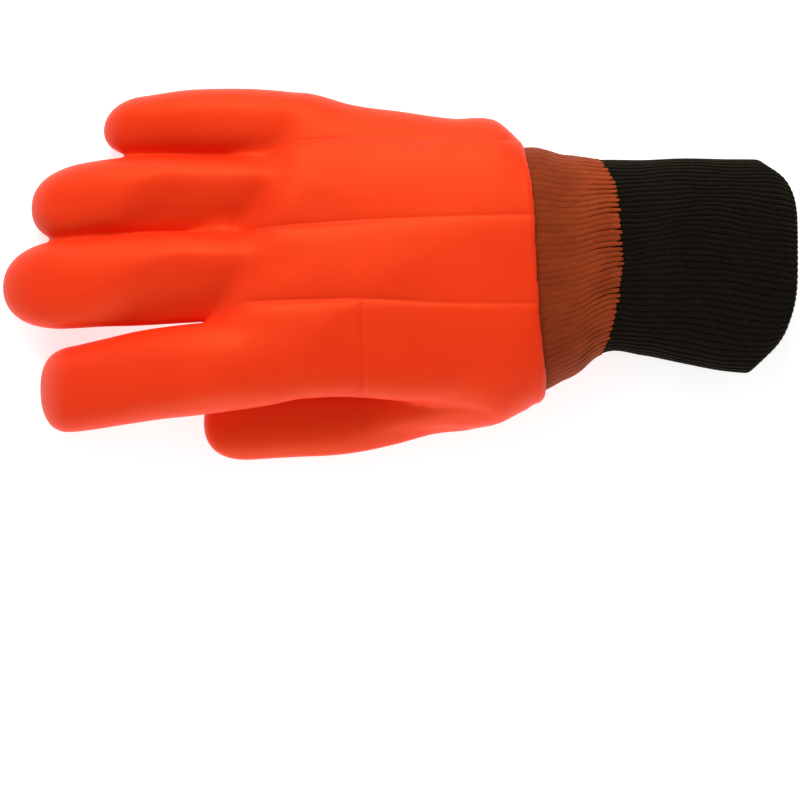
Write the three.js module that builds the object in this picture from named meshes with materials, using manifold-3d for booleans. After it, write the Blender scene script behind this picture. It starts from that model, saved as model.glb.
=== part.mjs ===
import * as THREE from "three";
import { mergeVertices } from "three/addons/utils/BufferGeometryUtils.js";
import Module from "manifold-3d";

// A PVC dipped, foam lined work glove with a rib knit wrist, for the right hand. It lies palm down with
// the thumb folded in beside and under the palm. The fingers point along -X, the little finger is on
// the +Y side and the back faces +Z. Lengths are millimetres and angles are degrees.
// While it is built, x = 0 is where the bright coating ends in the middle of the back, y = 0 runs
// through the middle finger and z = 0 is the table.

// Hand: the coated part
const palmLength = 120; // from the coating's end to the crotch beside the middle finger
const palmWidth = 110;
const palmThickness = 34; // across the knuckles
const heelThickness = 48; // at the wrist end, where the thumb's ball lies under the palm
const coatWall = 3.2; // coating and foam lining together

// Thumb
const thumbReach = 125; // from the coating's end to the thumb's tip
const thumbWidth = 33.5;
const thumbThickness = 26.5;
const thumbGap = 1.2; // between the folded thumb and the palm's edge above it

// Knit wrist, and the thin dipped skin over its first stretch
const skinLength = 31.5; // coated stretch of the knit, in the middle of the back
const cuffLength = 66; // bare stretch of the knit
const wristWidth = 73;
const wristThickness = 38;
const mouthWidth = 81;
const mouthThickness = 32;
const mouthDroopFar = 14; // how far the mouth's folded sides lie behind its middle, little finger's side
const mouthDroopNear = 18;
const knitWall = 2.6; // two layers of rib knit
const knitLap = 16; // knit that runs on inside the coated hand
const ribCount = 64;
const ribDepth = 0.7;
const skinWall = 1.0;
const skinNotch = 1.6; // how far the skin's edge steps back in the valley beside each rib

const fitGap = 0.3; // between separate pieces
const rebateFit = 1.4; // the rebate's clearance round the skin over fitGap, for the facets of both

// Fingers, sizes in millimetres.
const fingerSizes = {
  little: { length: 60.5, width: 24.2, thickness: 23.5 },
  ring: { length: 80.5, width: 29, thickness: 27 },
  middle: { length: 82, width: 33, thickness: 28.5 },
  index: { length: 67.5, width: 33.4, thickness: 28.5 },
};

// How the fingers lie. root is the crotch's distance from the coating's end over palmLength; side and
// tipSide are y over palmWidth; lift is z over palmThickness; tipLift is the tip's z over the finger's
// thickness; bow is the sideways bend of the middle over the width.
const fingerPlaces = [
  { name: "little", root: 0.862, side: 0.515, tipSide: 0.487, lift: 0.52, tipLift: 0.37, bow: 0.05 },
  { name: "ring", root: 0.915, side: 0.269, tipSide: 0.235, lift: 0.7, tipLift: 0.355, bow: 0.05 },
  { name: "middle", root: 1, side: -0.013, tipSide: -0.04, lift: 0.9, tipLift: 0.32, bow: 0 },
  { name: "index", root: 1, side: -0.325, tipSide: -0.405, lift: 1.12, tipLift: 0.26, bow: 0.02 },
];

// Every finger's outline: along is 0 at the crotch and 1 at the tip, and the sizes are shares of the
// finger's own. The part before the crotch lies in the palm and makes the knuckle.
const fingerSections = [
  { along: -0.55, width: 0.6, thickness: 0.6 },
  { along: -0.28, width: 0.94, thickness: 0.93 },
  { along: 0, width: 1.03, thickness: 1.0 },
  { along: 0.14, width: 1.0, thickness: 1.0 },
  { along: 0.45, width: 0.985, thickness: 0.98 },
  { along: 0.75, width: 1.0, thickness: 0.96 },
  { along: 1, width: 0.98, thickness: 0.92 },
];
const rootDraw = 0.22; // how far a finger's hidden root runs towards the palm's middle, over its side
const fingerLiftBow = 0.1; // how far the middle arches up, over the thickness
const tipBluntness = 2.3; // 2 is a round tip, more is blunter
const tipShare = 0.98; // length of the rounded tip over half the finger's width
const tipTurn = 82; // how far round the tip the last whole section lies, in degrees
const tipFlat = 0.2; // half size of the small flat that closes the tip

// The palm, from the coating's end to the knuckles. at is the distance over palmLength; far and near
// are the y of the little finger's and the index finger's edge over palmWidth; lift and thickness are
// over the palm's or the heel's thickness, as follows says; roll is how far the back leans.
const palmSections = [
  { at: -0.12, far: 0.415, near: -0.375, follows: "heel", lift: 0.44, thickness: 0.9, roll: 0 },
  { at: -0.03, far: 0.437, near: -0.405, follows: "heel", lift: 0.465, thickness: 0.96, roll: 0 },
  { at: 0.05, far: 0.467, near: -0.457, follows: "heel", lift: 0.48, thickness: 1.0, roll: 1 },
  { at: 0.12, far: 0.524, near: -0.463, follows: "heel", lift: 0.49, thickness: 1.0, roll: 3 },
  { at: 0.28, far: 0.54, near: -0.465, follows: "heel", lift: 0.54, thickness: 0.91, roll: 7 },
  { at: 0.45, far: 0.568, near: -0.465, follows: "palm", lift: 0.83, thickness: 1.16, roll: 10 },
  { at: 0.64, far: 0.595, near: -0.456, follows: "palm", lift: 0.86, thickness: 1.04, roll: 12 },
  { at: 0.8, far: 0.63, near: -0.467, follows: "palm", lift: 0.865, thickness: 0.94, roll: 12.5 },
  { at: 0.92, far: 0.635, near: -0.478, follows: "palm", lift: 0.87, thickness: 0.76, roll: 12.5 },
  { at: 1, far: 0.6, near: -0.44, follows: "palm", lift: 0.87, thickness: 0.44, roll: 12.5 },
];

// How far the palm reaches towards each gap between the fingers, over palmLength.
const knuckleLine = [
  { side: -0.16, reach: 1 },
  { side: 0.13, reach: 0.935 },
  { side: 0.4, reach: 0.87 },
  { side: 0.7, reach: 0.86 },
];

// The thumb, from the ball under the heel to the tip. at is the distance from the coating's end over
// thumbReach; side is y over palmWidth; the other columns are shares of the thumb's own sizes.
const thumbSections = [
  { at: 0.02, side: -0.15, lift: 0.8, width: 1.5, thickness: 1.42 },
  { at: 0.11, side: -0.27, lift: 0.83, width: 1.55, thickness: 1.5 },
  { at: 0.2, side: -0.325, lift: 0.79, width: 1.42, thickness: 1.45 },
  { at: 0.31, side: -0.375, lift: 0.7, width: 1.22, thickness: 1.3 },
  { at: 0.42, side: -0.42, lift: 0.6, width: 1.1, thickness: 1.12 },
  { at: 0.58, side: -0.465, lift: 0.5, width: 1.02, thickness: 1.0 },
  { at: 0.72, side: -0.478, lift: 0.46, width: 0.99, thickness: 0.97 },
  { at: 0.86, side: -0.492, lift: 0.45, width: 0.99, thickness: 0.95 },
  { at: 1, side: -0.53, lift: 0.45, width: 0.95, thickness: 0.9 },
];

// The knit wrist's outer surface, ribs' tops. at is the distance from the coating's end over the
// knit's length; width, thickness and lift are shares of the sizes that the row follows, and side is
// the middle's y over that width.
const knitSections = [
  { at: -0.17, follows: "heel", width: 0.84, side: 0, thickness: 0.82, lift: 0.5 },
  { at: -0.08, follows: "heel", width: 0.845, side: 0, thickness: 0.835, lift: 0.49 },
  { at: 0, follows: "heel", width: 0.812, side: 0.006, thickness: 0.855, lift: 0.48 },
  { at: 0.085, follows: "heel", width: 0.755, side: 0.016, thickness: 0.82, lift: 0.458 },
  { at: 0.163, follows: "wrist", width: 1.065, side: 0.044, thickness: 1.0, lift: 0.548 },
  { at: 0.21, follows: "wrist", width: 1.003, side: 0.07, thickness: 0.98, lift: 0.534 },
  { at: 0.26, follows: "wrist", width: 0.97, side: 0.09, thickness: 0.96, lift: 0.522 },
  { at: 0.4, follows: "wrist", width: 1.0, side: 0.085, thickness: 0.97, lift: 0.5 },
  { at: 0.56, follows: "mouth", width: 0.955, side: 0.062, thickness: 0.97, lift: 0.475 },
  { at: 0.72, follows: "mouth", width: 0.99, side: 0.042, thickness: 0.99, lift: 0.475 },
  { at: 0.85, follows: "mouth", width: 1.0, side: 0.036, thickness: 1.0, lift: 0.475 },
  { at: 1, follows: "mouth", width: 0.985, side: 0.036, thickness: 0.98, lift: 0.475 },
];

// Where the coating and the skin end, seen from above: side is y over the heel's or the wrist's half
// width, from the index finger's side to the little finger's, and back is how far the edge lies
// towards the fingertips, over palmLength.
const coatEdge = [
  { side: -1.3, back: -0.03 },
  { side: -0.82, back: -0.025 },
  { side: -0.45, back: -0.009 },
  { side: -0.1, back: 0 },
  { side: 0.37, back: 0.013 },
  { side: 0.61, back: 0.022 },
  { side: 0.82, back: 0.04 },
  { side: 0.96, back: 0.08 },
  { side: 1.3, back: 0.12 },
];
const skinEdge = [
  { side: -1, back: 0.066 },
  { side: -0.84, back: 0.044 },
  { side: -0.37, back: 0.009 },
  { side: -0.1, back: 0 },
  { side: 0.47, back: 0.012 },
  { side: 0.79, back: 0.032 },
  { side: 1, back: 0.076 },
];

const sizes = {
  palm: { width: palmWidth, thickness: palmThickness },
  heel: { width: palmWidth, thickness: heelThickness },
  wrist: { width: wristWidth, thickness: wristThickness },
  mouth: { width: mouthWidth, thickness: mouthThickness },
};
const knitLength = skinLength + cuffLength;
const handRoundness = 2.35; // of the sections: 2 is an ellipse, more is squarer
const knitRoundness = 2.15;

const wasm = await Module();
wasm.setup();

// A column of a table at a place between its rows, on a smooth curve through them.
function columnAt(rows, key, column, at) {
  const last = rows.length - 1;
  if (at <= rows[0][key]) return rows[0][column];
  if (at >= rows[last][key]) return rows[last][column];
  const i = rows.findIndex((row) => row[key] > at) - 1;
  const slope = (a, b) => (rows[b][column] - rows[a][column]) / (rows[b][key] - rows[a][key]);
  const start = slope(Math.max(i - 1, 0), i + 1);
  const end = slope(i, Math.min(i + 2, last));
  const span = rows[i + 1][key] - rows[i][key];
  const t = (at - rows[i][key]) / span;
  const [t2, t3] = [t * t, t * t * t];
  return (
    (2 * t3 - 3 * t2 + 1) * rows[i][column] +
    (t3 - 2 * t2 + t) * span * start +
    (3 * t2 - 2 * t3) * rows[i + 1][column] +
    (t3 - t2) * span * end
  );
}

// How much of its full size a tapering form keeps at a distance from its tip.
function tipRound(distance, length) {
  if (distance >= length) return 1;
  const q = 1 - Math.max(distance, 0) / length;
  return (1 - q ** tipBluntness) ** (1 / tipBluntness);
}

// A section: its place, half sizes and lean. inset makes it smaller all round, for the hollow.
function fingerSection(finger, along, inset) {
  const share = (column) => columnAt(fingerSections, "along", column, along);
  const mix = Math.max(along, 0);
  const draw = 1 + Math.min(along, 0) * rootDraw;
  const arch = along > 0 ? 4 * along * (1 - along) : 0;
  const rootLift = finger.lift * palmThickness;
  const tipLift = finger.tipLift * finger.thickness;
  const toTip = (1 - along) * finger.length - inset;
  const round = tipRound(toTip, (finger.width * tipShare) / 2 - inset);
  const side = finger.side * draw + (finger.tipSide - finger.side) * mix;
  return {
    x: -finger.root * palmLength - along * finger.length,
    y: side * palmWidth + arch * finger.bow * finger.width,
    z: rootLift + (tipLift - rootLift) * mix + arch * fingerLiftBow * finger.thickness,
    halfWidth: ((share("width") * finger.width) / 2 - inset) * round,
    halfHeight: ((share("thickness") * finger.thickness) / 2 - inset) * round,
    roll: 0,
  };
}

function palmSection(at, inset) {
  const share = (column) => columnAt(palmSections, "at", column, at);
  const thick = palmSections.map((row) => ({
    at: row.at,
    half: (row.thickness * sizes[row.follows].thickness) / 2,
    lift: row.lift * sizes[row.follows].thickness,
  }));
  return {
    x: -at * palmLength,
    y: ((share("far") + share("near")) / 2) * palmWidth,
    z: columnAt(thick, "at", "lift", at),
    halfWidth: ((share("far") - share("near")) / 2) * palmWidth - inset,
    halfHeight: columnAt(thick, "at", "half", at) - inset,
    roll: THREE.MathUtils.degToRad(share("roll")),
  };
}

function thumbSection(at, inset) {
  const share = (column) => columnAt(thumbSections, "at", column, at);
  const round = tipRound((1 - at) * thumbReach - inset, (thumbWidth * tipShare) / 2 - inset);
  return {
    x: -at * thumbReach,
    y: share("side") * palmWidth,
    z: share("lift") * thumbThickness,
    halfWidth: ((share("width") * thumbWidth) / 2 - inset) * round,
    halfHeight: ((share("thickness") * thumbThickness - thumbGap) / 2 - inset) * round,
    roll: 0,
  };
}

function knitSection(at, outset) {
  const rows = knitSections.map((row) => ({
    at: row.at,
    y: row.side * sizes[row.follows].width,
    z: row.lift * sizes[row.follows].thickness,
    halfWidth: (row.width * sizes[row.follows].width) / 2,
    halfHeight: (row.thickness * sizes[row.follows].thickness) / 2,
  }));
  return {
    x: at * knitLength,
    y: columnAt(rows, "at", "y", at),
    z: columnAt(rows, "at", "z", at),
    halfWidth: columnAt(rows, "at", "halfWidth", at) + outset,
    halfHeight: columnAt(rows, "at", "halfHeight", at) + outset,
    roll: 0,
  };
}

// A point of a section's outline at an angle from +Y, and the outline's outward direction there.
function outlinePoint(section, roundness, angle) {
  const power = 2 / roundness;
  const [c, s] = [Math.cos(angle), Math.sin(angle)];
  const y = section.halfWidth * Math.sign(c) * Math.abs(c) ** power;
  const z = section.halfHeight * Math.sign(s) * Math.abs(s) ** power;
  const out = new THREE.Vector3(0, c / section.halfWidth, s / section.halfHeight).normalize();
  const lean = new THREE.Matrix4().makeRotationX(-section.roll);
  const place = new THREE.Vector3(section.x, section.y, section.z);
  return { point: new THREE.Vector3(0, y, z).applyMatrix4(lean).add(place), out };
}

// The outline of a section as a ring of points.
function ring(section, roundness, sides) {
  return Array.from({ length: sides }, (_, i) =>
    outlinePoint(section, roundness, (2 * Math.PI * i) / sides).point,
  );
}

// Angles at which the wrist's outline has evenly spaced points: a rib's top, then the valley beside it.
function ribAngles() {
  const section = knitSection(0.4, 0);
  const steps = 720;
  const points = ring(section, knitRoundness, steps);
  const run = [0];
  for (let i = 1; i <= steps; i++) {
    run.push(run[i - 1] + points[i % steps].distanceTo(points[i - 1]));
  }
  return Array.from({ length: 2 * ribCount }, (_, k) => {
    const target = (run[steps] * k) / (2 * ribCount);
    const i = run.findIndex((length) => length > target) - 1;
    return (2 * Math.PI * (i + (target - run[i]) / (run[i + 1] - run[i]))) / steps;
  });
}

// A ring round the knit with two points a rib. place says at what share of its length each point lies,
// from the point's share of the way across and from whether it is in a valley.
function ribbedRing(outset, place) {
  return angles.map((angle, k) => {
    const valley = k % 2 === 1;
    const section = knitSection(place(Math.cos(angle), valley), outset);
    const { point, out } = outlinePoint(section, knitRoundness, angle);
    return valley ? point.addScaledVector(out, -ribDepth) : point;
  });
}

// A closed solid through rings of equal length, with each end closed by a fan.
function loft(rings) {
  const sides = rings[0].length;
  const middle = (points) => points.reduce((sum, p) => sum.add(p), new THREE.Vector3()).divideScalar(sides);
  const points = [...rings.flat(), middle(rings[0]), middle(rings.at(-1))];
  const [first, last] = [points.length - 2, points.length - 1];
  const index = [];
  for (let r = 0; r + 1 < rings.length; r++) {
    for (let i = 0; i < sides; i++) {
      const [a, b] = [r * sides + i, r * sides + ((i + 1) % sides)];
      index.push(a, b, b + sides, a, b + sides, a + sides);
    }
  }
  const end = (rings.length - 1) * sides;
  for (let i = 0; i < sides; i++) {
    const next = (i + 1) % sides;
    index.push(first, next, i, last, end + i, end + next);
  }
  const geometry = new THREE.BufferGeometry().setFromPoints(points).setIndex(index);
  const solid = solidOf(geometry);
  if (solid.volume() > 0) return solid;
  geometry.setIndex(index.map((_, i) => index[i - (i % 3) + 2 - (i % 3)]));
  return solidOf(geometry);
}

// A geometry as a solid that can be cut and joined, and back again.
function solidOf(geometry) {
  const bare = geometry.clone();
  bare.deleteAttribute("normal");
  bare.deleteAttribute("uv");
  const merged = mergeVertices(bare, 1e-4);
  return new wasm.Manifold(
    new wasm.Mesh({
      numProp: 3,
      vertProperties: merged.attributes.position.array,
      triVerts: new Uint32Array(merged.index.array),
    }),
  );
}

function geometryOf(solid) {
  const made = solid.getMesh();
  const geometry = new THREE.BufferGeometry();
  geometry.setAttribute("position", new THREE.BufferAttribute(new Float32Array(made.vertProperties), 3));
  geometry.setIndex(new THREE.BufferAttribute(new Uint32Array(made.triVerts), 1));
  geometry.computeVertexNormals();
  return geometry;
}

// Everything below a height, to press a soft underside flat.
function below(height) {
  const reach = 4 * (palmLength + knitLength);
  const slab = new THREE.BoxGeometry(reach, reach, reach);
  return solidOf(slab.translate(0, 0, height - reach / 2));
}

// Everything beyond a drawn edge, from top to bottom.
function beyondEdge(rows, halfWidth, x, middleY) {
  const outer = 3 * (skinLength + cuffLength);
  const place = (row) => [x - row.back * palmLength, middleY + row.side * halfWidth];
  const line = rows.map((row) => new THREE.Vector2(...place(row)));
  const shape = new THREE.Shape([new THREE.Vector2(outer, -outer), new THREE.Vector2(line[0].x, -outer)]);
  shape.lineTo(line[0].x, line[0].y);
  shape.splineThru(line.slice(1));
  shape.lineTo(line.at(-1).x, outer);
  shape.lineTo(outer, outer);
  const slab = new THREE.ExtrudeGeometry(shape, { depth: outer, bevelEnabled: false, curveSegments: 12 });
  return solidOf(slab.translate(0, 0, -outer / 4));
}

// Places along a tapering form, closer together round its tip.
function stations(first, tipLength, fullLength, count) {
  const tip = 1 - tipLength / fullLength;
  const body = Array.from({ length: count }, (_, i) => first + ((tip - first) * i) / count);
  const tipCount = Math.round(count * 0.7);
  const turns = Array.from({ length: tipCount }, (_, i) => (i * tipTurn) / (tipCount - 1));
  return [...body, ...turns.map((turn) => tip + (1 - tip) * Math.sin(THREE.MathUtils.degToRad(turn)))];
}

// A tapering form: a finger or the thumb, or with an inset its hollow.
function tapered(section, first, reach, width, inset, sides, count) {
  const length = reach - inset;
  const tipLength = (width * tipShare) / 2 - inset;
  const places = stations((first * reach) / length, tipLength, length, count);
  const shrink = length / reach;
  const body = places.map((at) => ring(section(at * shrink, inset), handRoundness, sides));
  const tip = section(shrink, inset);
  body.push(ring({ ...tip, halfWidth: tipFlat, halfHeight: tipFlat }, handRoundness, sides));
  return loft(body);
}

// The palm, drawn out towards the gaps between the fingers, or with an inset its hollow.
function palmForm(inset, sides, count) {
  const [first, last] = [palmSections[0].at, palmSections.at(-1).at - inset / palmLength];
  const places = Array.from({ length: count + 1 }, (_, i) => first + ((last - first) * i) / count);
  return loft(places.map((at) => {
    const reach = (p) => columnAt(knuckleLine, "side", "reach", p.y / palmWidth);
    const pulled = (p) => p.setX(p.x * (1 - Math.max(at, 0) * (1 - reach(p))));
    return ring(palmSection(at, inset), handRoundness, sides).map(pulled);
  }));
}

// All of the coated hand's forms joined, or with an inset their hollow.
function handForm(inset, palmSides, palmCount, fingerSides, fingerCount) {
  let form = palmForm(inset, palmSides, palmCount);
  for (const place of fingerPlaces) {
    const finger = { ...place, ...fingerSizes[place.name] };
    const section = (along, edge) => fingerSection(finger, along, edge);
    const first = fingerSections[0].along;
    form = form.add(tapered(section, first, finger.length, finger.width, inset, fingerSides, fingerCount));
  }
  const first = thumbSections[0].at;
  return form.add(tapered(thumbSection, first, thumbReach, thumbWidth, inset, fingerSides, fingerCount));
}

// The knit's surface moved outwards, from one place to another along it, as a smooth solid.
function knitEnvelope(outset, from, to, count, sides) {
  const places = Array.from({ length: count + 1 }, (_, i) => from + ((to - from) * i) / count);
  return loft(places.map((at) => ring(knitSection(at, outset), knitRoundness, sides)));
}

const skinTop = fitGap + skinWall; // the skin's outer surface above the ribs' tops
const lapShare = knitLap / knitLength;
const knitPlaces = [-lapShare, 0, 0.1, 0.18, 0.27, 0.5, 0.76, 1];
const angles = ribAngles();

function handShell() {
  const outer = handForm(0, 32, 10, 14, 7).subtract(below(0));
  const hollow = handForm(coatWall, 22, 7, 10, 5).subtract(below(coatWall));
  const rebate = knitEnvelope(skinTop + rebateFit * fitGap, -lapShare - fitGap / knitLength, 0.15, 5, 48);
  const edge = beyondEdge(coatEdge, palmWidth / 2, 0, 0);
  return outer.subtract(hollow).subtract(rebate).subtract(edge);
}

// How far back the mouth's edge lies, over the knit's length, for a share of the way across.
function mouthDroop(across) {
  const far = across > 0;
  return ((far ? mouthDroopFar : mouthDroopNear) * Math.abs(across) ** (far ? 8 : 4)) / knitLength;
}

function knitCuff() {
  const lip = knitWall / 2;
  const droopFrom = 0.3; // the share of the knit's length after which the rings start to droop
  const rings = knitPlaces.map((at) => {
    const pull = (Math.max(at - droopFrom, 0) / (1 - droopFrom)) ** 2;
    return ribbedRing(0, (across) => at - pull * mouthDroop(across));
  });
  // The folded end turns inwards in a half round.
  for (const degrees of [35, 75]) {
    const turn = THREE.MathUtils.degToRad(degrees);
    const reach = lip * Math.sin(turn);
    const edge = ribbedRing(-lip * (1 - Math.cos(turn)), (across) => 1 - mouthDroop(across));
    rings.push(edge.map((p) => p.setX(p.x + reach)));
  }
  const outer = loft(rings).subtract(below(0));
  const hollow = loft([-1.2 * lapShare, ...knitPlaces.slice(1), 1.05].map((at) => {
    return ring(knitSection(at, (at > 1 ? lip : 0) - knitWall), knitRoundness, 24);
  }));
  return outer.subtract(hollow.subtract(below(knitWall)));
}

function dippedSkin() {
  const last = (across, valley) => {
    const back = columnAt(skinEdge, "side", "back", across) * palmLength;
    return (skinLength - back - (valley ? skinNotch : 0)) / knitLength;
  };
  const outer = loft([0, 0.33, 0.56, 0.78, 1].map((share) =>
    ribbedRing(skinTop, (across, valley) => share * (last(across, valley) + lapShare) - lapShare),
  ));
  const knit = loft([-1.2 * lapShare, ...knitPlaces.slice(0, -1)].map((at) => ribbedRing(fitGap, () => at)));
  return outer.subtract(knit).subtract(below(0));
}

const finishes = {
  coating: { color: 0xfc4c24, roughness: 0.42, metalness: 0 },
  dippedKnit: { color: 0x9a3f1e, roughness: 0.55, metalness: 0 },
  knit: { color: 0x1f1b16, roughness: 0.95, metalness: 0 },
};

function piece(name, solid, finish) {
  const mesh = new THREE.Mesh(geometryOf(solid), new THREE.MeshStandardMaterial(finishes[finish]));
  mesh.name = name;
  return mesh;
}

const glove = new THREE.Group();
glove.add(piece("coated_hand", handShell(), "coating"));
glove.add(piece("dipped_wrist_skin", dippedSkin(), "dippedKnit"));
glove.add(piece("knit_cuff", knitCuff(), "knit"));

// The part's origin is the middle of its underside.
const box = new THREE.Box3().setFromObject(glove);
const middle = box.getCenter(new THREE.Vector3());
glove.position.set(-middle.x, -middle.y, -box.min.z);

export default glove;
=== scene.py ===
import math

import bpy
import numpy as np
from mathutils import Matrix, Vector


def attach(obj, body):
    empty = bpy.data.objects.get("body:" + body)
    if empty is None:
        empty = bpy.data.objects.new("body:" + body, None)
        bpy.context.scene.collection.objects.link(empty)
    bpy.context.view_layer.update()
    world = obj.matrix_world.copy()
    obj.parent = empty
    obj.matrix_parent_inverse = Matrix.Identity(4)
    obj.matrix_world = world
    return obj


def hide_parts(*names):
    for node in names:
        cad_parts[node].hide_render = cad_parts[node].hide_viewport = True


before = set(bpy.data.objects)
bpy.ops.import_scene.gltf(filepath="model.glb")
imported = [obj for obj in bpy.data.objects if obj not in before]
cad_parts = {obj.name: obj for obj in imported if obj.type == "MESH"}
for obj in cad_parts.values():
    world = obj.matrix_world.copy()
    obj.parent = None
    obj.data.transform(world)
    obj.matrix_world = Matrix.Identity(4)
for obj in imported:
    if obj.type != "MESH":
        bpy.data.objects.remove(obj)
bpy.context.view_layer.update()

# The glove is built in millimetres in the frame of the CAD part: +X towards the cuff, +Y towards the
# little finger, +Z up out of the back of the hand, and the table at z = 0.
MM = 0.001
random = np.random.default_rng(7)


def curve(rows, x, column=1):
    """A column of a table at x, on a smooth curve through its rows, which their first value sorts."""
    rows = np.asarray(rows, float)
    at, value = rows[:, 0], rows[:, column]
    slope = np.gradient(value, at)
    x = np.clip(x, at[0], at[-1])
    i = np.clip(np.searchsorted(at, x, side="right") - 1, 0, len(at) - 2)
    span = at[i + 1] - at[i]
    t = (x - at[i]) / span
    t2, t3 = t * t, t * t * t
    return (
        (2 * t3 - 3 * t2 + 1) * value[i]
        + (t3 - 2 * t2 + t) * span * slope[i]
        + (3 * t2 - 2 * t3) * value[i + 1]
        + (t3 - t2) * span * slope[i + 1]
    )


def smooth_min(a, b, k):
    h = np.clip(0.5 + 0.5 * (b - a) / k, 0, 1)
    return b * (1 - h) + a * h - k * h * (1 - h)


def smooth_max(a, b, k):
    return -smooth_min(-a, -b, k)


def ramp(x, low, high):
    t = np.clip((x - low) / (high - low), 0, 1)
    return t * t * (3 - 2 * t)


def ridge(off, far_fade, near_fade):
    """1 on a line, fading over one length on the little finger's side of it and over the other before it."""
    return np.exp(-np.abs(off) / np.where(off > 0, far_fade, near_fade))


def places(low, high, coarse, bands=()):
    """Places from low to high, a coarse step apart, or a fine one inside the bands (low, high, fine)."""
    found = [low]
    while found[-1] < high:
        step = coarse
        for a, b, fine in bands:
            if a - coarse <= found[-1] <= b:
                step = fine
        found.append(found[-1] + step)
    return np.array(found)


# The hand's forms. A row of a finger is x, the middle's y and the half width, before the tip's rounding.
# A finger's lift is the z of its middle at the root and at the tip, and how far it arches between them.
# A finger's facets, where its back turns down flat: the y of the upper edge, the slope in degrees, the x of
# the end at the palm and that end's slant.
FINGERS = {
    "little": {
        "tip": -112.7, "round": 14, "blunt": 2.0, "root": -51.8,
        "lift": (18.7, 8.9, 2.2), "thick": 11.75,
        "rows": [(-112.7, 54.2, 11.3), (-104, 55.3, 11.0), (-94.8, 56.5, 11.2), (-83.5, 57.4, 11.9),
                 (-70.3, 57.6, 12.4), (-52.6, 57.0, 12.5), (-40, 55.5, 12.7), (-30, 53.0, 12.0),
                 (-14, 48, 7.5)],
    },
    "ring": {
        "tip": -139.9, "round": 17, "blunt": 2.2, "root": -58.2,
        "lift": (23.8, 9.8, 2.7), "thick": 13.5, "facets": [(37, 14, -48, 0.37), (31.5, 25, -56, 0.37)],
        "rows": [(-139.9, 24.9, 14.0), (-128.8, 26.0, 14.2), (-121.3, 27.5, 14.4), (-113.7, 28.8, 14.4),
                 (-107.3, 29.4, 14.4), (-91, 30.1, 14.3), (-68.4, 29.5, 14.5), (-56, 29.2, 14.7),
                 (-36, 27.5, 13.4), (-14, 24, 8)],
    },
    "middle": {
        "tip": -150.6, "round": 25, "blunt": 2.2, "root": -68.4,
        "lift": (30.6, 9.6, 2.85), "thick": 14.25, "facets": [(8, 15, -46, 0.8), (1, 27, -56, 0.8)],
        "rows": [(-150.6, -5.2, 17.0), (-142, -4.6, 17.0), (-128.4, -3.9, 16.8), (-113.7, -2.9, 16.9),
                 (-91, -1.9, 16.9), (-70.3, -1.5, 16.2), (-45, -2, 15.2), (-23, -2, 9)],
    },
    "index": {
        "tip": -136.6, "round": 12, "blunt": 2.3, "root": -68.4,
        "lift": (38.1, 8.0, 2.85), "thick": 14.25,
        "rows": [(-136.6, -43.9, 16.2), (-128.8, -43.9, 16.0), (-123.1, -43.3, 16.2), (-113.7, -41.6, 16.6),
                 (-94.8, -38.2, 17.0), (-76, -36.4, 17.6), (-64.6, -35.4, 17.8), (-45, -33, 16.2),
                 (-31, -31, 10)],
    },
}
# The thumb's rows add the middle's z and the half thickness.
THUMB = {
    "tip": -74.4, "round": 17, "blunt": 2.2,
    "rows": [(-74.4, -56.0, 16.0, 11.9, 12.1), (-62.8, -54.0, 16.3, 11.9, 12.3),
             (-53.3, -53.4, 16.5, 11.9, 12.3), (-38.2, -52.5, 16.6, 12.2, 12.4),
             (-20.9, -51.3, 16.8, 13.3, 12.7), (-0.9, -46.2, 18.0, 15.9, 14.2),
             (12.9, -41.0, 19.8, 18.5, 16.4), (26.6, -36.3, 23.1, 20.9, 18.2),
             (37.9, -30.5, 25.6, 22.0, 19.0), (49, -20, 25, 21.5, 17.5)],
}
# Where a finger parts from its neighbour on the little finger's side, how softly they touch before that,
# and how far before it they begin to grow together.
CROTCHES = {"ring": (-52.6, 3.9, 16), "middle": (-67.7, 2.8, 16), "index": (-69.2, 0.5, 8)}
CROTCH_SOFT = 10  # how softly they join behind it
SOFT_KNUCKLE = 15.0  # how long the bend from the palm's back to a finger's is
ROOT_FADE = 45  # a finger thins out inside the palm over this length
INNER_FADE = 14  # and its form ends softly at its last row
THIN_TIP, THIN_ROOT = 0.08, 0.42  # the shares of thickness that a finger loses towards its two ends

# The palm: the share of the way from the coating's end to the crotches, the two edges' y, the middle's z,
# the half thickness and how far the back leans, in degrees.
PALM = [
    (-0.12, 45.7, -41.3, 21.1, 21.6, 0), (-0.03, 48.0, -44.5, 22.3, 23.0, 0),
    (0.05, 51.2, -49.8, 23.0, 24.0, 1), (0.12, 57.2, -50.4, 23.5, 24.0, 3),
    (0.28, 59.2, -50.8, 25.9, 21.8, 7), (0.45, 62.2, -50.8, 28.2, 19.7, 10),
    (0.64, 65.0, -49.6, 29.2, 17.7, 12), (0.8, 68.4, -50.6, 29.4, 16.2, 12.5),
    (0.92, 68.8, -52.0, 29.6, 14.6, 12.5), (1.0, 66.0, -49.0, 29.6, 13.2, 12.5),
]
PALM_LENGTH = 120
PALM_BLUNT = 2.4
ROUND_FROM, ROUND_SHARE = 0.8, 0.2  # the share where the palm's end begins to round, and over which
KNUCKLES = [(-17.6, 1.0), (14.3, 0.935), (44, 0.87), (77, 0.86)]  # the palm's length at y, as a share

COAT_END = 51.6
# The coating's end: its x at y.
COAT_EDGE = [
    (-60, 55), (-45.3, 54.6), (-38.1, 54.2), (-24.9, 52.8), (-9.8, 51.6), (5.3, 50.8), (20.4, 50.1),
    (33.6, 49.0), (43, 47.2), (49.4, 44.8), (52.5, 42.2), (58, 37),
]
WALL = 3.2
HAND_ROUND = 2.35
KNIT_ROUND = 2.15
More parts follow.
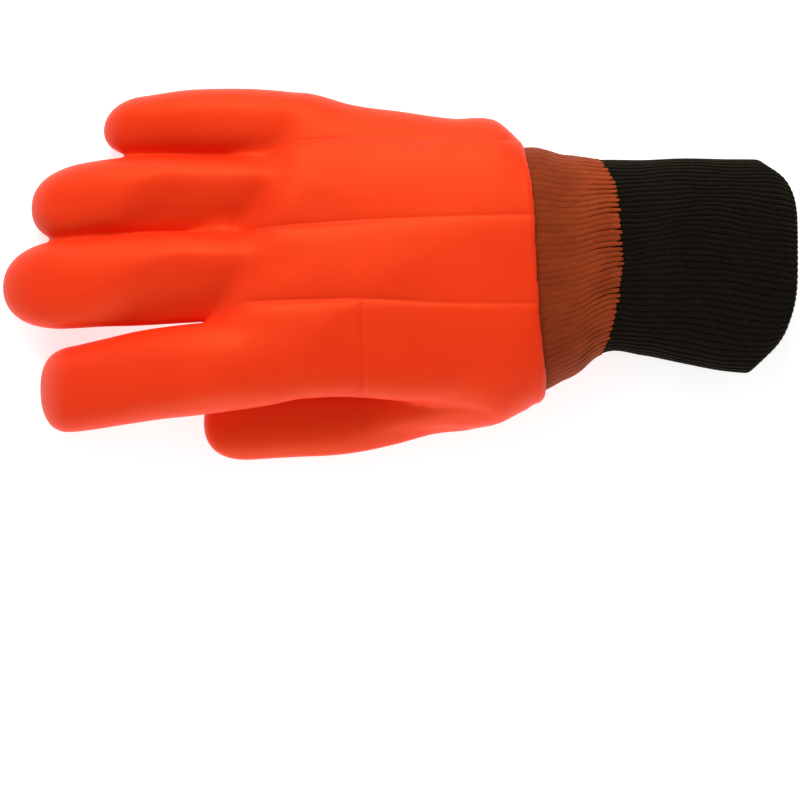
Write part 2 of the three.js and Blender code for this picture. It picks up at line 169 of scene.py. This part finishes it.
# The knit: x, half width, the middle's y, half thickness, the middle's z.
KNIT = [
    (35.0, 46.2, 0, 19.7, 24.0), (43.8, 46.5, 0, 20.0, 23.5), (51.6, 45.2, 1.2, 20.5, 23.0),
    (59.9, 41.9, 2.2, 19.7, 22.0), (67.5, 39.5, 3.8, 19.0, 20.8), (72.1, 37.5, 5.6, 18.6, 20.3),
    (76.9, 36.4, 6.8, 18.2, 19.8), (90.6, 36.9, 6.2, 18.4, 19.0), (106.2, 38.8, 5.0, 15.5, 15.2),
    (121.8, 40.1, 3.4, 15.8, 15.2), (134.5, 40.5, 2.9, 16.0, 15.2), (149.1, 39.9, 2.9, 15.7, 15.2),
]
POCKET = 34.0  # how far the knit's lap reaches in under the coating
SKIN_OUT = 1.3  # the thin first dip above the ribs' tops

# The grid that the hand's surface is found on
X = places(-154, 58, 1.25, [(-17.5, -11.5, 0.6), (46, 58, 0.75)])
Y = places(-73.5, 73.5, 1.1, [(-20, -9, 0.5), (14, 23.5, 0.5), (43.5, 52.5, 0.5)])
Z = places(-2, 56, 1.0)
GX, GY, GZ = X[:, None, None], Y[None, :, None], Z[None, None, :]


def section_norm(y, z, half_width, half_height, roundness):
    return (np.abs(y / half_width) ** roundness + np.abs(z / half_height) ** roundness) ** (1 / roundness)


def distance(form):
    """An implicit form, 1 on its surface, as about a distance from it in millimetres."""
    slope = np.gradient(form, X, Y, Z)
    least = 0.012
    return (form - 1) / np.maximum(np.sqrt(slope[0] ** 2 + slope[1] ** 2 + slope[2] ** 2), least)


def tapered(spec, y, half, z, thick):
    """A finger or thumb: its sections, closed by a rounded tip and an end inside the hand."""
    body = section_norm(GY - y, GZ - z, half, thick, HAND_ROUND)
    beyond = np.clip((spec["tip"] + spec["round"] - GX) / spec["round"], 0, None)
    body = (beyond ** spec["blunt"] + body ** spec["blunt"]) ** (1 / spec["blunt"])
    return distance(np.maximum(body, 1 + (GX - spec["rows"][-1][0]) / INNER_FADE))


def finger_form(spec):
    past = spec["root"] - GX
    along = 0.5 * (past + np.sqrt(past ** 2 + SOFT_KNUCKLE ** 2)) / (spec["root"] - spec["tip"])
    root, tip, arch = spec["lift"]
    z = root + (tip - root) * along + 4 * along * (1 - along) * arch
    into = np.clip(-past / ROOT_FADE, 0, 1)
    thick = spec["thick"] * (1 - THIN_TIP * along - THIN_ROOT * into ** 1.5)
    form = tapered(spec, curve(spec["rows"], GX, 1), curve(spec["rows"], GX, 2), z, thick)
    for y, degrees, end, slant in spec.get("facets", ()):
        lean = math.radians(degrees)
        flat = (GZ - (z + thick) + 0.4) * math.cos(lean) + (y - GY) * math.sin(lean)
        u = GX - slant * (GY - y + 10)
        shown = ramp(u, -120, -90) * (1 - ramp(u, end - 6, end + 2))
        form = smooth_max(form, flat - 6 * (1 - shown), 2.2)
    return form


def palm_form():
    short = 1 - curve(KNUCKLES, GY)
    share = (COAT_END - GX) / PALM_LENGTH
    at = 2 * share / (1 + np.sqrt(np.maximum(1 - 4 * short * share, 0.04)))
    far, near, lift, thick, roll = (curve(PALM, at, c) for c in range(1, 6))
    lean = np.radians(roll)
    y, z = GY - (far + near) / 2, GZ - lift
    across = y * np.cos(lean) - z * np.sin(lean)
    above = y * np.sin(lean) + z * np.cos(lean)
    inner = section_norm(across, above, (far - near) / 2, thick, HAND_ROUND)
    end = np.clip((at - ROUND_FROM) / ROUND_SHARE, 0, None)
    return distance((inner ** PALM_BLUNT + end ** PALM_BLUNT) ** (1 / PALM_BLUNT))


def knit_form(outset):
    y, z = curve(KNIT, GX, 2), curve(KNIT, GX, 4)
    half, thick = curve(KNIT, GX, 1) + outset, curve(KNIT, GX, 3) + outset
    return distance(section_norm(GY - y, GZ - z, half, thick, KNIT_ROUND))


def surface(d, xs, ys, zs):
    """The zero surface of a field on a grid as points and quads that face its positive side."""
    inside = d < 0
    cells = [slice(0, -1), slice(1, None)]
    corners = [(a, b, c) for a in (0, 1) for b in (0, 1) for c in (0, 1)]
    count = sum(inside[cells[a], cells[b], cells[c]].astype(np.int8) for a, b, c in corners)
    active = (count > 0) & (count < 8)
    where = np.argwhere(active)
    number = np.full(active.shape, -1, np.int32)
    number[active] = np.arange(len(where))
    total, hits = np.zeros((len(where), 3)), np.zeros(len(where))
    i, j, k = where.T
    for a, b, c in corners:
        for axis in range(3):
            end = [a, b, c]
            if end[axis]:
                continue
            end[axis] = 1
            d0, d1 = d[i + a, j + b, k + c], d[i + end[0], j + end[1], k + end[2]]
            crossing = (d0 < 0) != (d1 < 0)
            t = np.where(crossing, d0 / np.where(crossing, d0 - d1, 1), 0)
            p0 = np.stack([xs[i + a], ys[j + b], zs[k + c]], 1)
            p1 = np.stack([xs[i + end[0]], ys[j + end[1]], zs[k + end[2]]], 1)
            total += np.where(crossing[:, None], p0 + (p1 - p0) * t[:, None], 0)
            hits += crossing
    points = total / hits[:, None]
    quads = []
    for axis in range(3):
        u, v = (axis + 1) % 3, (axis + 2) % 3
        low, high = [slice(None)] * 3, [slice(None)] * 3
        low[axis], high[axis] = slice(0, -1), slice(1, None)
        for s in (low, high):
            s[u], s[v] = slice(1, -1), slice(1, -1)
        change = inside[tuple(low)] != inside[tuple(high)]
        edges = np.argwhere(change)
        edges[:, u] += 1
        edges[:, v] += 1
        out = inside[edges[:, 0], edges[:, 1], edges[:, 2]]
        ring = []
        for du, dv in ((-1, -1), (0, -1), (0, 0), (-1, 0)):
            cell = edges.copy()
            cell[:, u] += du
            cell[:, v] += dv
            ring.append(number[cell[:, 0], cell[:, 1], cell[:, 2]])
        ring = np.stack(ring, 1)
        ring[~out] = ring[~out][:, ::-1]
        quads.append(ring)
    return points, np.concatenate(quads)


def relax(points, quads, rounds):
    """Evens out the grid's steps: each round smooths and then swells, so the form doesn't shrink."""
    smooth, swell = 0.5, -0.52
    a = quads.ravel()
    b = np.roll(quads, -1, 1).ravel()
    ends, starts = np.concatenate([a, b]), np.concatenate([b, a])
    n = np.bincount(ends, minlength=len(points))[:, None]
    for step in [smooth, swell] * rounds:
        sums = [np.bincount(ends, points[starts, c], len(points)) for c in range(3)]
        mean = np.stack(sums, 1) / np.maximum(n, 1)
        points = points + step * (mean - points)
    return points


def normals_of(points, quads):
    face = np.cross(points[quads[:, 2]] - points[quads[:, 0]], points[quads[:, 3]] - points[quads[:, 1]])
    n = np.zeros_like(points)
    for c in range(4):
        for axis in range(3):
            n[:, axis] += np.bincount(quads[:, c], face[:, axis], len(points))
    return n / np.maximum(np.linalg.norm(n, axis=1), 1e-9)[:, None]


def keep(points, quads, wanted):
    """Only the wanted quads, and the points that they use."""
    quads = quads[wanted]
    used = np.unique(quads)
    place = np.zeros(len(points), int)
    place[used] = np.arange(len(used))
    return points[used], place[quads]


def mesh_object(name, points, quads, smooth=True):
    mesh = bpy.data.meshes.new(name)
    mesh.from_pydata((points * MM).tolist(), [], quads.tolist())
    mesh.polygons.foreach_set("use_smooth", [smooth] * len(mesh.polygons))
    mesh.update()
    piece = bpy.data.objects.new(name, mesh)
    bpy.context.scene.collection.objects.link(piece)
    return piece


# Coated hand
fingers = finger_form(FINGERS["little"])
for name, (crotch, least, before) in CROTCHES.items():
    web = least + (CROTCH_SOFT - least) * ramp(GX, crotch - before, crotch + 4)
    fingers = smooth_min(fingers, finger_form(FINGERS[name]), web)
hand = smooth_min(palm_form(), fingers, 4.0)
thumb = tapered(THUMB, *(curve(THUMB["rows"], GX, c) for c in (1, 2, 3, 4)))
hand = smooth_min(hand, thumb, 3.5 + 5.0 * ramp(GX, -5, 40))
collar = np.maximum(knit_form(SKIN_OUT + 2.0), 30 - GX)
hand = smooth_min(hand, collar, 3.5)
hand = smooth_max(hand, -GZ, 1.2)

# The lining's seams show through the back. Above each one the surface rolls down into it, and below it
# rises in a short lip: the seam's y along x, then how deep it lies near the crotch and at the coating's end.
RING_SEAM = [(-52, 44.2), (-46, 47.0), (-38, 49.4), (-25, 50.6), (-19, 50.8), (20, 50.2), (44, 50.0)]
MIDDLE_SEAM = [(-67, 14.9), (-56, 16.4), (-45, 17.6), (-30, 18.8), (-14, 20.0), (18, 21.4), (51, 22.0)]
INDEX_SEAM = [(-67, -17.2), (-60, -11.8), (-50, -10.6), (-38, -10.2), (-15, -9.6), (18, -11.0), (53, -11.2)]
SEAMS = [(RING_SEAM, 1.9, 0.45), (MIDDLE_SEAM, 2.3, 0.5), (INDEX_SEAM, 2.5, 0.7)]
# Soft dents and swells of the back: x, y, the two radii, the turn in degrees and the depth.
DENTS = [
    (-53, 27, 6, 10, -25, 0.6), (-86, 52, 20, 6, 0, 0.4), (-44, 25, 4, 10, -25, -0.5),
    (-30, 25, 9, 6, 0, 0.4), (10, 52, 24, 5, 2, 0.3), (-42, 4, 5, 7, -25, 0.5),
]
top = ramp(GZ, 16, 24)
for rows, near_crotch, at_end in SEAMS:
    depth = at_end + (near_crotch - at_end) * (1 - ramp(GX, -45, 25))
    depth = depth * ramp(GX, rows[0][0] - 3, rows[0][0] + 15)
    hand = hand + depth * ridge(GY - curve(rows, GX), 8.5, 2.2) * top
for x, y, rx, ry, turn, depth in DENTS:
    c, s = math.cos(math.radians(turn)), math.sin(math.radians(turn))
    u = ((GX - x) * c + (GY - y) * s) / rx
    v = ((GY - y) * c - (GX - x) * s) / ry
    hand = hand + depth * np.exp(-(u * u + v * v)) * top

# The back turns down below a slanting line, from the index finger to the seam across it: its y along x.
TURN = [
    (-110, -43.5), (-76, -39.6), (-56.7, -35.6), (-46, -32.5), (-39.4, -29), (-30, -21.5), (-19.2, -12),
    (0, 1), (60, 30),
]
turned = np.logaddexp(0, (curve(TURN, GX) - GY) * 0.85)
hand = hand + 3.1 * (1 - np.exp(-turned / 17)) * (1 - ramp(GX, -14, 48)) * ramp(GX, -105, -60) * top

# The palm's edge lies in a fold over the ball of the thumb: its y along x.
FOLD = [(-5, -47.6), (3.5, -48.6), (10.7, -49.6), (25.2, -50.4), (33, -52.8), (38.6, -55.1), (58, -62)]
fold = 1.3 * ridge(GY - curve(FOLD, GX), 0.9, 5)
hand = hand + fold * ramp(GX, 0, 13) * (1 - ramp(GX, 28, 40)) * ramp(GZ, 8, 16)

# The outer surface, without the floor of the hollow that the knit lies in, because the hand is open there
edge = curve(COAT_EDGE, GY) + 0.25 * np.sin(GY * 0.31 + 1) * np.sin(GY * 0.113)
ended = smooth_max(hand, GX - edge, 2.0)
knit_hole = np.maximum(knit_form(SKIN_OUT + 0.2), POCKET - GX)
points, quads = surface(np.maximum(ended, -knit_hole), X, Y, Z)
middle = points[quads].mean(1)
normal = normals_of(points, quads)[quads].mean(1)
hole_floor = (np.abs(middle[:, 0] - POCKET) < 1.2) & (normal[:, 0] > 0.9)
points, quads = keep(points, quads, ~hole_floor)
points = relax(points, quads, 5)

# The seams' fine grooves, with one more across the back: its x along y
CROSS_SEAM = [(-52, -13.8), (-30, -14.4), (-9, -14.6)]
n = normals_of(points, quads)
along, aside = points[:, 0], points[:, 1]
push = np.zeros(len(points))
for rows, _, _ in SEAMS:
    start, stop = rows[0][0], rows[-1][0]
    ends = ramp(along, start + 2, start + 16) * ramp(-along, -stop, -stop + 3)
    groove = np.exp(-(((aside - curve(rows, along)) / 0.8) ** 2))
    push -= 0.16 * groove * ends * ramp(n[:, 2], 0.15, 0.5)
groove = np.exp(-(((along - curve(CROSS_SEAM, aside)) / 0.95) ** 2))
ends = ramp(aside, -60, -50) * ramp(-aside, 9.5, 12)
push -= 0.4 * groove * ends * ramp(n[:, 2], -0.1, 0.3)

# Uneven skin
for _ in range(26):
    wave = random.normal(0, 1, 3) / random.uniform(7, 26)
    push += 0.045 * np.sin(points @ wave + random.uniform(0, 6.3))
points = points + n * push[:, None]
points[:, 2] = np.maximum(points[:, 2], 0)

# The lining's inner face, on a coarser grid
lined = smooth_max(hand + WALL, GX - POCKET + 0.3, 0.4)
lined, faces = surface(lined[::3, ::3, ::2], X[::3], Y[::3], Z[::2])
middle = lined[faces].mean(1)
lined, faces = keep(lined, faces, middle[:, 0] < POCKET - 2.0)
lined = relax(lined, faces, 2)
all_points = np.concatenate([points, lined])
all_quads = np.concatenate([quads, faces[:, ::-1] + len(points)])
shell = mesh_object("dipped_coating", all_points, all_quads)
shell.data.polygons.foreach_set("material_index", [0] * len(quads) + [1] * len(faces))


# Knit wrist
RIBS = 88
RIB_DEPTH = 0.62
CUFF_START = 35.3  # the lap's edge under the coating
KNIT_END = 148.1
KNIT_LENGTH = 97.5  # from the coating's end to the mouth
KNIT_WALL = 2.6
WRIST_X = 90.6  # where the ribs are evenly wide
OUTER_ROWS, INNER_ROWS = 88, 14
LIP_TURNS = (20, 45, 70, 90, 110, 135, 160)  # the folded end's rows, in degrees round it
# How far the ribs bulge along x.
BULGE = [(60, 0), (76, 0), (95, 0.5), (109, 0.92), (119, 1), (131, 0.8), (149, 0.42)]
# The first dip's end: its x where the outline lies so far across, from -1 at the thumb's side to 1.
SKIN_EDGE = [
    (-1, 75.4), (-0.84, 78), (-0.63, 80.3), (-0.37, 82.2), (-0.1, 83.3), (0.16, 82.6), (0.47, 81.8),
    (0.79, 79.3), (1, 74.4),
]
SKIN_START = 38
TABLE_GAP = 0.02  # between the knit's underside and the table


def knit_point(x, angle, outset):
    """A point of the knit's outline, moved outwards."""
    c, s = np.cos(angle), np.sin(angle)
    half, thick = curve(KNIT, x, 1) + outset, curve(KNIT, x, 3) + outset
    power = 2 / KNIT_ROUND
    y = curve(KNIT, x, 2) + half * np.sign(c) * np.abs(c) ** power
    z = curve(KNIT, x, 4) + thick * np.sign(s) * np.abs(s) ** power
    return x, y, z


def even_angles(count):
    """Angles, from 0 to a full turn, that divide the wrist's outline evenly."""
    fine = np.linspace(0, 2 * math.pi, 7201)
    y, z = knit_point(np.full_like(fine, WRIST_X), fine, 0)[1:]
    run = np.concatenate([[0], np.cumsum(np.hypot(np.diff(y), np.diff(z)))])
    return np.interp(np.linspace(0, run[-1], count + 1), run, fine)


ANGLES = even_angles(RIBS)


def rib_places(per):
    """Places counted in ribs, some for each rib, and how far across the outline each of them lies."""
    rib = np.arange(RIBS * per)[None, :] / per
    return rib, np.cos(np.interp(rib, np.arange(RIBS + 1), ANGLES))


def rib_angle(rib, x):
    """The angle of a place counted in ribs. The ribs wander a little and bulge towards the little finger."""
    turn = rib / RIBS * 2 * math.pi
    sway = 0.20 * np.sin(x / 6.8 + 0.4 * rib) + 0.07 * np.sin(x / 2.9 - 0.7 * rib)
    lean = 2.9 * curve(BULGE, x) * np.clip(np.sin(turn), 0, 1) ** 1.6
    place = np.mod(rib + (sway * ramp(x, 60, 80) - lean), RIBS)
    return np.interp(place, np.arange(RIBS + 1), ANGLES)


def rib_profile(rib):
    """How deep a rib's surface lies: 0 on its top, 1 in the narrow valley beside it."""
    phase = np.abs(np.mod(rib + 0.5, 1) - 0.5) * 2
    return phase ** 2.4 + 0.15 * np.exp(-((phase / 0.25) ** 2))


def knit_grid(rib, x, outset, depth):
    """Points of the ribbed surface for arrays of ribs, x and outset."""
    angle = rib_angle(rib, x)
    _, y, z = knit_point(x, angle, outset - depth * rib_profile(rib))
    return np.stack(np.broadcast_arrays(x, y, z), -1)


def droop(across):
    """How far the mouth's edge lies behind its middle."""
    return np.where(across > 0, 12 * np.abs(across) ** 5, 16.5 * np.abs(across) ** 3)


def drawn(x, across):
    """x along the knit, drawn towards the hand where the mouth's edge droops."""
    pull = max((x - COAT_END) / KNIT_LENGTH - 0.3, 0) ** 2 * 2
    return x - pull * droop(across)


def fold_in(x):
    """How far the folded end draws in towards the mouth."""
    return 1.3 * max((x - KNIT_END + 5) / 5, 0) ** 2


def tube_object(name, grid, rib, run):
    """A tube through a grid's rings, with the places in ribs and the run along it as its UV map."""
    rings, sides = grid.shape[:2]
    i, j = np.meshgrid(np.arange(rings - 1), np.arange(sides), indexing="ij")
    k = (j + 1) % sides
    quads = np.stack([i * sides + j, i * sides + k, (i + 1) * sides + k, (i + 1) * sides + j], -1)
    piece = mesh_object(name, grid.reshape(-1, 3), quads.reshape(-1, 4))
    uv = np.stack(np.broadcast_arrays(rib, run[:, None]), -1).reshape(-1, 2)
    layer = piece.data.uv_layers.new(name="UVMap")
    corner = np.zeros(len(piece.data.loops), int)
    piece.data.loops.foreach_get("vertex_index", corner)
    layer.data.foreach_set("uv", uv[corner].ravel())
    return piece


def cuff():
    """The outer layer, the folded end and the inner layer, in one tube."""
    rib, across = rib_places(9)
    profile = rib_profile(rib)
    lip = KNIT_WALL / 2
    rows = []
    for x in np.linspace(CUFF_START, KNIT_END, OUTER_ROWS):
        rows.append((drawn(x, across), 0 * rib - fold_in(x), RIB_DEPTH))
    for degrees in LIP_TURNS:
        inwards = fold_in(KNIT_END) + lip * (1 - math.cos(math.radians(degrees)))
        rows.append((KNIT_END - droop(across) * 0.98, 0 * rib - inwards, RIB_DEPTH * (1 - degrees / 260)))
    for x in np.linspace(KNIT_END - 1.6, CUFF_START, INNER_ROWS):
        rows.append((drawn(x, across), 0 * rib - fold_in(x) - KNIT_WALL, -0.25))
    grid = np.stack([knit_grid(rib, x, outset, depth)[0] for x, outset, depth in rows])
    for n, degrees in enumerate(LIP_TURNS):
        grid[OUTER_ROWS + n, :, 0] += lip * math.sin(math.radians(degrees)) * (1 - 0.28 * profile[0])
    grid[..., 2] = np.maximum(grid[..., 2], TABLE_GAP + 0.2 * profile)
    outer_run = np.linspace(0, 114, OUTER_ROWS)
    lip_run = 114 + np.arange(1, len(LIP_TURNS) + 1) * 0.5
    inner_run = 118 + np.linspace(0, 112, INNER_ROWS)
    return tube_object("rib_knit_cuff", grid, rib, np.concatenate([outer_run, lip_run, inner_run]))


def dipped_band():
    """The first dip's thin skin over the ribs, with a tooth on each rib and a slit in each valley."""
    per = 10
    rib, across = rib_places(per)
    nearest_rib = np.floor(rib + 0.5).astype(int) % RIBS
    valley = np.floor(rib).astype(int) % RIBS
    tooth = random.uniform(-0.5, 0.5, RIBS)[nearest_rib]
    slit = (0.5 + 4.2 * random.uniform(0, 1, RIBS) ** 1.8)[valley]
    beside = np.abs(np.mod(rib, 1) - 0.5) * per
    edge = curve(SKIN_EDGE, across)
    edge = edge + tooth * ramp(beside, 0.8, 3.5) - slit * (1 - ramp(beside, 0.9, 2.5))
    edge = edge + random.uniform(-0.15, 0.15, rib.shape)
    shares = np.concatenate([np.linspace(0, 0.86, 30), [0.9, 0.935, 0.962, 0.982, 0.994, 1.0]])
    rows = []
    for share in shares:
        x = SKIN_START + share * (edge - SKIN_START)
        left = edge - x
        out = 0.42 + (SKIN_OUT - 0.55) * ramp(left, 0, 9) + 0.15 * ramp(left, 25, 40)
        depth = 0.26 - 0.10 * ramp(left, 4, 26)
        rows.append(knit_grid(rib, x, out + 0.06 * np.sin(x * 0.9 + rib * 2.3), depth)[0])
    rows.append(knit_grid(rib, edge + 0.05, -0.15 + 0 * rib, RIB_DEPTH)[0])
    grid = np.stack(rows)
    grid[..., 2] = np.maximum(grid[..., 2], TABLE_GAP)
    return tube_object("dipped_wrist", grid, rib, np.concatenate([shares * 42, [42.2]]))


knit = cuff()
band = dipped_band()


# Materials
class Nodes:
    """Short ways to add and join the nodes of a material."""

    def __init__(self, name):
        self.material = bpy.data.materials.new(name)
        self.material.use_nodes = True
        self.tree = self.material.node_tree
        self.shader = self.tree.nodes["Principled BSDF"]

    def feed(self, socket, value):
        if hasattr(value, "links"):
            self.tree.links.new(value, socket)
        else:
            socket.default_value = value

    def add(self, kind, inputs=None, **settings):
        node = self.tree.nodes.new(kind)
        for key, value in settings.items():
            setattr(node, key, value)
        for key, value in (inputs or {}).items():
            self.feed(node.inputs[key], value)
        return node

    def math(self, operation, *values):
        return self.add("ShaderNodeMath", dict(enumerate(values)), operation=operation).outputs[0]

    def times(self, a, b):
        return self.math("MULTIPLY", a, b)

    def mix(self, factor, a, b):
        node = self.add("ShaderNodeMix", data_type="RGBA")
        self.feed(node.inputs[0], factor)
        for socket, color in ((node.inputs[6], a), (node.inputs[7], b)):
            self.feed(socket, color if hasattr(color, "links") else (*color, 1))
        return node.outputs[2]

    def noise(self, scale, detail=2, rough=0.5, stretch=None):
        vector = self.add("ShaderNodeTexCoord").outputs["Object"]
        if stretch:
            vector = self.add("ShaderNodeMapping", {"Vector": vector, "Scale": stretch}).outputs[0]
        inputs = {"Vector": vector, "Scale": scale, "Detail": detail, "Roughness": rough}
        return self.add("ShaderNodeTexNoise", inputs).outputs["Fac"]

    def band(self, value, low, high):
        inputs = {0: value, 1: low, 2: high}
        return self.add("ShaderNodeMapRange", inputs, interpolation_type="SMOOTHSTEP").outputs[0]

    def specks(self, scale, radius, area_scale, low, high):
        """Small round specks, only in the areas where a large noise is high."""
        cells = self.add("ShaderNodeTexVoronoi", {"Scale": scale, "Randomness": 1.0}, feature="F1")
        speck = self.math("LESS_THAN", cells.outputs["Distance"], radius)
        return self.times(speck, self.band(self.noise(area_scale, 1), low, high))

    def bump(self, height, strength, depth, normal=None):
        inputs = {"Height": height, "Strength": strength, "Distance": depth}
        if normal is not None:
            inputs["Normal"] = normal
        return self.add("ShaderNodeBump", inputs).outputs[0]

    def join(self, output, name):
        self.tree.links.new(output, self.shader.inputs[name])

    def set(self, **values):
        for key, value in values.items():
            self.shader.inputs[key.replace("_", " ")].default_value = value


def coating_material():
    m = Nodes("pvc_orange")
    shade = m.band(m.noise(22, 3, 0.5), 0.3, 0.7)
    color = m.mix(shade, (0.77, 0.0310, 0.0056), (0.82, 0.0365, 0.0070))
    color = m.mix(m.specks(95.0, 0.045, 41, 0.55, 0.6), color, (0.16, 0.012, 0.006))
    m.join(color, "Base Color")
    m.join(m.math("ADD", 0.46, m.times(m.noise(60, 2), 0.12)), "Roughness")
    pits = m.times(m.noise(330, 1, 0.4), 0.6)
    grain = m.times(m.noise(900, 2, 0.6), 0.25)
    m.join(m.bump(m.math("ADD", pits, grain), 0.12, 0.0004), "Normal")
    m.set(Specular_IOR_Level=0.42, Specular_Tint=(1.0, 0.42, 0.12, 1))
    return m.material


def lining_material():
    m = Nodes("jersey_lining")
    m.join(m.mix(m.noise(160, 2), (0.05, 0.045, 0.04), (0.09, 0.08, 0.07)), "Base Color")
    m.join(m.bump(m.noise(1500, 1), 0.5, 0.0006), "Normal")
    m.set(Roughness=0.95, Specular_IOR_Level=0.2)
    return m.material


def rib_phase(m):
    """A place's u and v, and its phase: 0 on a rib's top, 1 in the valley beside it."""
    uv = m.add("ShaderNodeUVMap").outputs[0]
    parts = m.add("ShaderNodeSeparateXYZ", {0: uv}).outputs
    shifted = m.math("FRACT", m.math("ADD", parts[0], 0.5))
    phase = m.times(m.math("ABSOLUTE", m.math("SUBTRACT", shifted, 0.5)), 2.0)
    return parts[0], parts[1], phase


def stitches(m, u, v):
    """The height of knit stitches: two columns of small chevrons on each rib."""
    column = m.times(u, 2.0)
    side = m.math("ABSOLUTE", m.math("SUBTRACT", m.math("FRACT", column), 0.5))
    row = m.math("ADD", m.times(v, 0.9), m.times(side, 1.3))
    return m.math("ABSOLUTE", m.math("SINE", m.times(row, math.pi)))


def band_material():
    m = Nodes("pvc_on_knit")
    u, v, phase = rib_phase(m)
    top_color = m.mix(m.band(v, 4.0, 42.0), (0.19, 0.025, 0.0055), (0.30, 0.045, 0.0105))
    # Painted shade: in noise patches, the rib valleys are coloured a darker orange than the rib tops.
    valley = m.times(m.band(phase, 0.55, 1.0), m.band(m.noise(120, 3, 0.6), 0.35, 0.7))
    color = m.mix(valley, top_color, (0.125, 0.0165, 0.0040))
    patches = m.times(m.band(m.noise(55, 3, 0.6), 0.4, 0.7), 0.6)
    color = m.mix(patches, color, (0.17, 0.0225, 0.0050))
    streaks = m.times(m.band(m.noise(260, 3, 0.6, stretch=(0.22, 1, 1)), 0.45, 0.75), 0.4)
    color = m.mix(streaks, color, (0.30, 0.046, 0.0110))
    specks = m.times(m.specks(420.0, 0.13, 75, 0.55, 0.62), 0.6)
    color = m.mix(specks, color, (0.50, 0.12, 0.045))
    m.join(color, "Base Color")
    normal = m.bump(stitches(m, u, v), 0.25, 0.0002)
    m.join(m.bump(m.noise(800, 2), 0.25, 0.0003, normal), "Normal")
    m.set(Roughness=0.6, Specular_IOR_Level=0.15, Specular_Tint=(1.0, 0.55, 0.3, 1))
    return m.material


def knit_material():
    m = Nodes("knit_black")
    u, v, phase = rib_phase(m)
    # Painted shade: the rib valleys are coloured much darker than the rib tops, on top of the ribs' real
    # depth.
    color = m.mix(m.band(phase, 0.5, 1.0), (0.0066, 0.0050, 0.0026), (0.0010, 0.0008, 0.0005))
    color = m.mix(m.band(m.noise(700, 3, 0.7), 0.45, 0.8), color, (0.012, 0.0095, 0.006))
    lint = m.times(m.specks(160.0, 0.035, 50, 0.5, 0.56), 0.5)
    color = m.mix(lint, color, (0.16, 0.15, 0.13))
    m.join(color, "Base Color")
    normal = m.bump(stitches(m, u, v), 0.55, 0.0005)
    m.join(m.bump(m.noise(1800, 2), 0.5, 0.0005, normal), "Normal")
    m.set(Roughness=1.0, Specular_IOR_Level=0.05)
    m.set(Sheen_Weight=0.12, Sheen_Roughness=0.4, Sheen_Tint=(1.0, 0.82, 0.6, 1))
    return m.material


shell.data.materials.append(coating_material())
shell.data.materials.append(lining_material())
band.data.materials.append(band_material())
knit.data.materials.append(knit_material())

for piece, node, slot in (
    (shell, "coated_hand", "pvc_orange"),
    (band, "dipped_wrist_skin", "pvc_on_knit"),
    (knit, "knit_cuff", "knit_black"),
):
    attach(piece, "root")
    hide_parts(node)

# Floor, light and camera
FLOOR_HALF, FLOOR_Z = 9000, -0.3
floor_points = [[a * FLOOR_HALF, b * FLOOR_HALF, FLOOR_Z] for a, b in ((-1, -1), (1, -1), (1, 1), (-1, 1))]
floor = mesh_object("floor", np.array(floor_points), np.array([[0, 1, 2, 3]]), smooth=False)
paper = Nodes("paper")
paper.join(paper.mix(paper.noise(3, 2), (0.80, 0.80, 0.80), (0.83, 0.83, 0.83)), "Base Color")
paper.set(Roughness=0.9, Specular_IOR_Level=0.05, Emission_Strength=0.65, Emission_Color=(1, 1, 1, 1))
floor.data.materials.append(paper.material)

world = bpy.data.worlds.new("studio")
bpy.context.scene.world = world
world.use_nodes = True
background = world.node_tree.nodes["Background"]
background.inputs["Color"].default_value = (1, 1, 1, 1)
background.inputs["Strength"].default_value = 0.37


def area_light(name, place, target, size, power):
    data = bpy.data.lights.new(name, "AREA")
    data.shape = "DISK"
    data.size = size
    data.energy = power
    light = bpy.data.objects.new(name, data)
    bpy.context.scene.collection.objects.link(light)
    light.location = place
    light.rotation_mode = "QUATERNION"
    light.rotation_quaternion = (Vector(target) - Vector(place)).to_track_quat("-Z", "Y")


area_light("key", (-0.15, 0.95, 0.85), (0, 0, 0.02), 0.9, 17)
area_light("fill", (-0.1, -1.0, 0.25), (0, 0, 0.02), 0.7, 6)

# The camera looks straight down through a long lens, from where the picture's 800 pixels cover a view's
# width of the glove.
LENS, SENSOR = 600, 36
VIEW_WIDTH = 0.3019
VIEW_HEIGHT_ABOVE_TABLE = 0.015  # the height at which the view is that wide
camera = bpy.data.objects.new("camera", bpy.data.cameras.new("camera"))
bpy.context.scene.collection.objects.link(camera)
camera.data.lens = LENS
camera.data.sensor_width = SENSOR
camera.data.clip_end = 20
camera.location = (-0.0005, -0.0475, VIEW_WIDTH / (SENSOR / LENS) + VIEW_HEIGHT_ABOVE_TABLE)
camera.rotation_euler = (0, 0, 0)
bpy.context.scene.camera = camera
bpy.context.scene.view_settings.view_transform = "Standard"
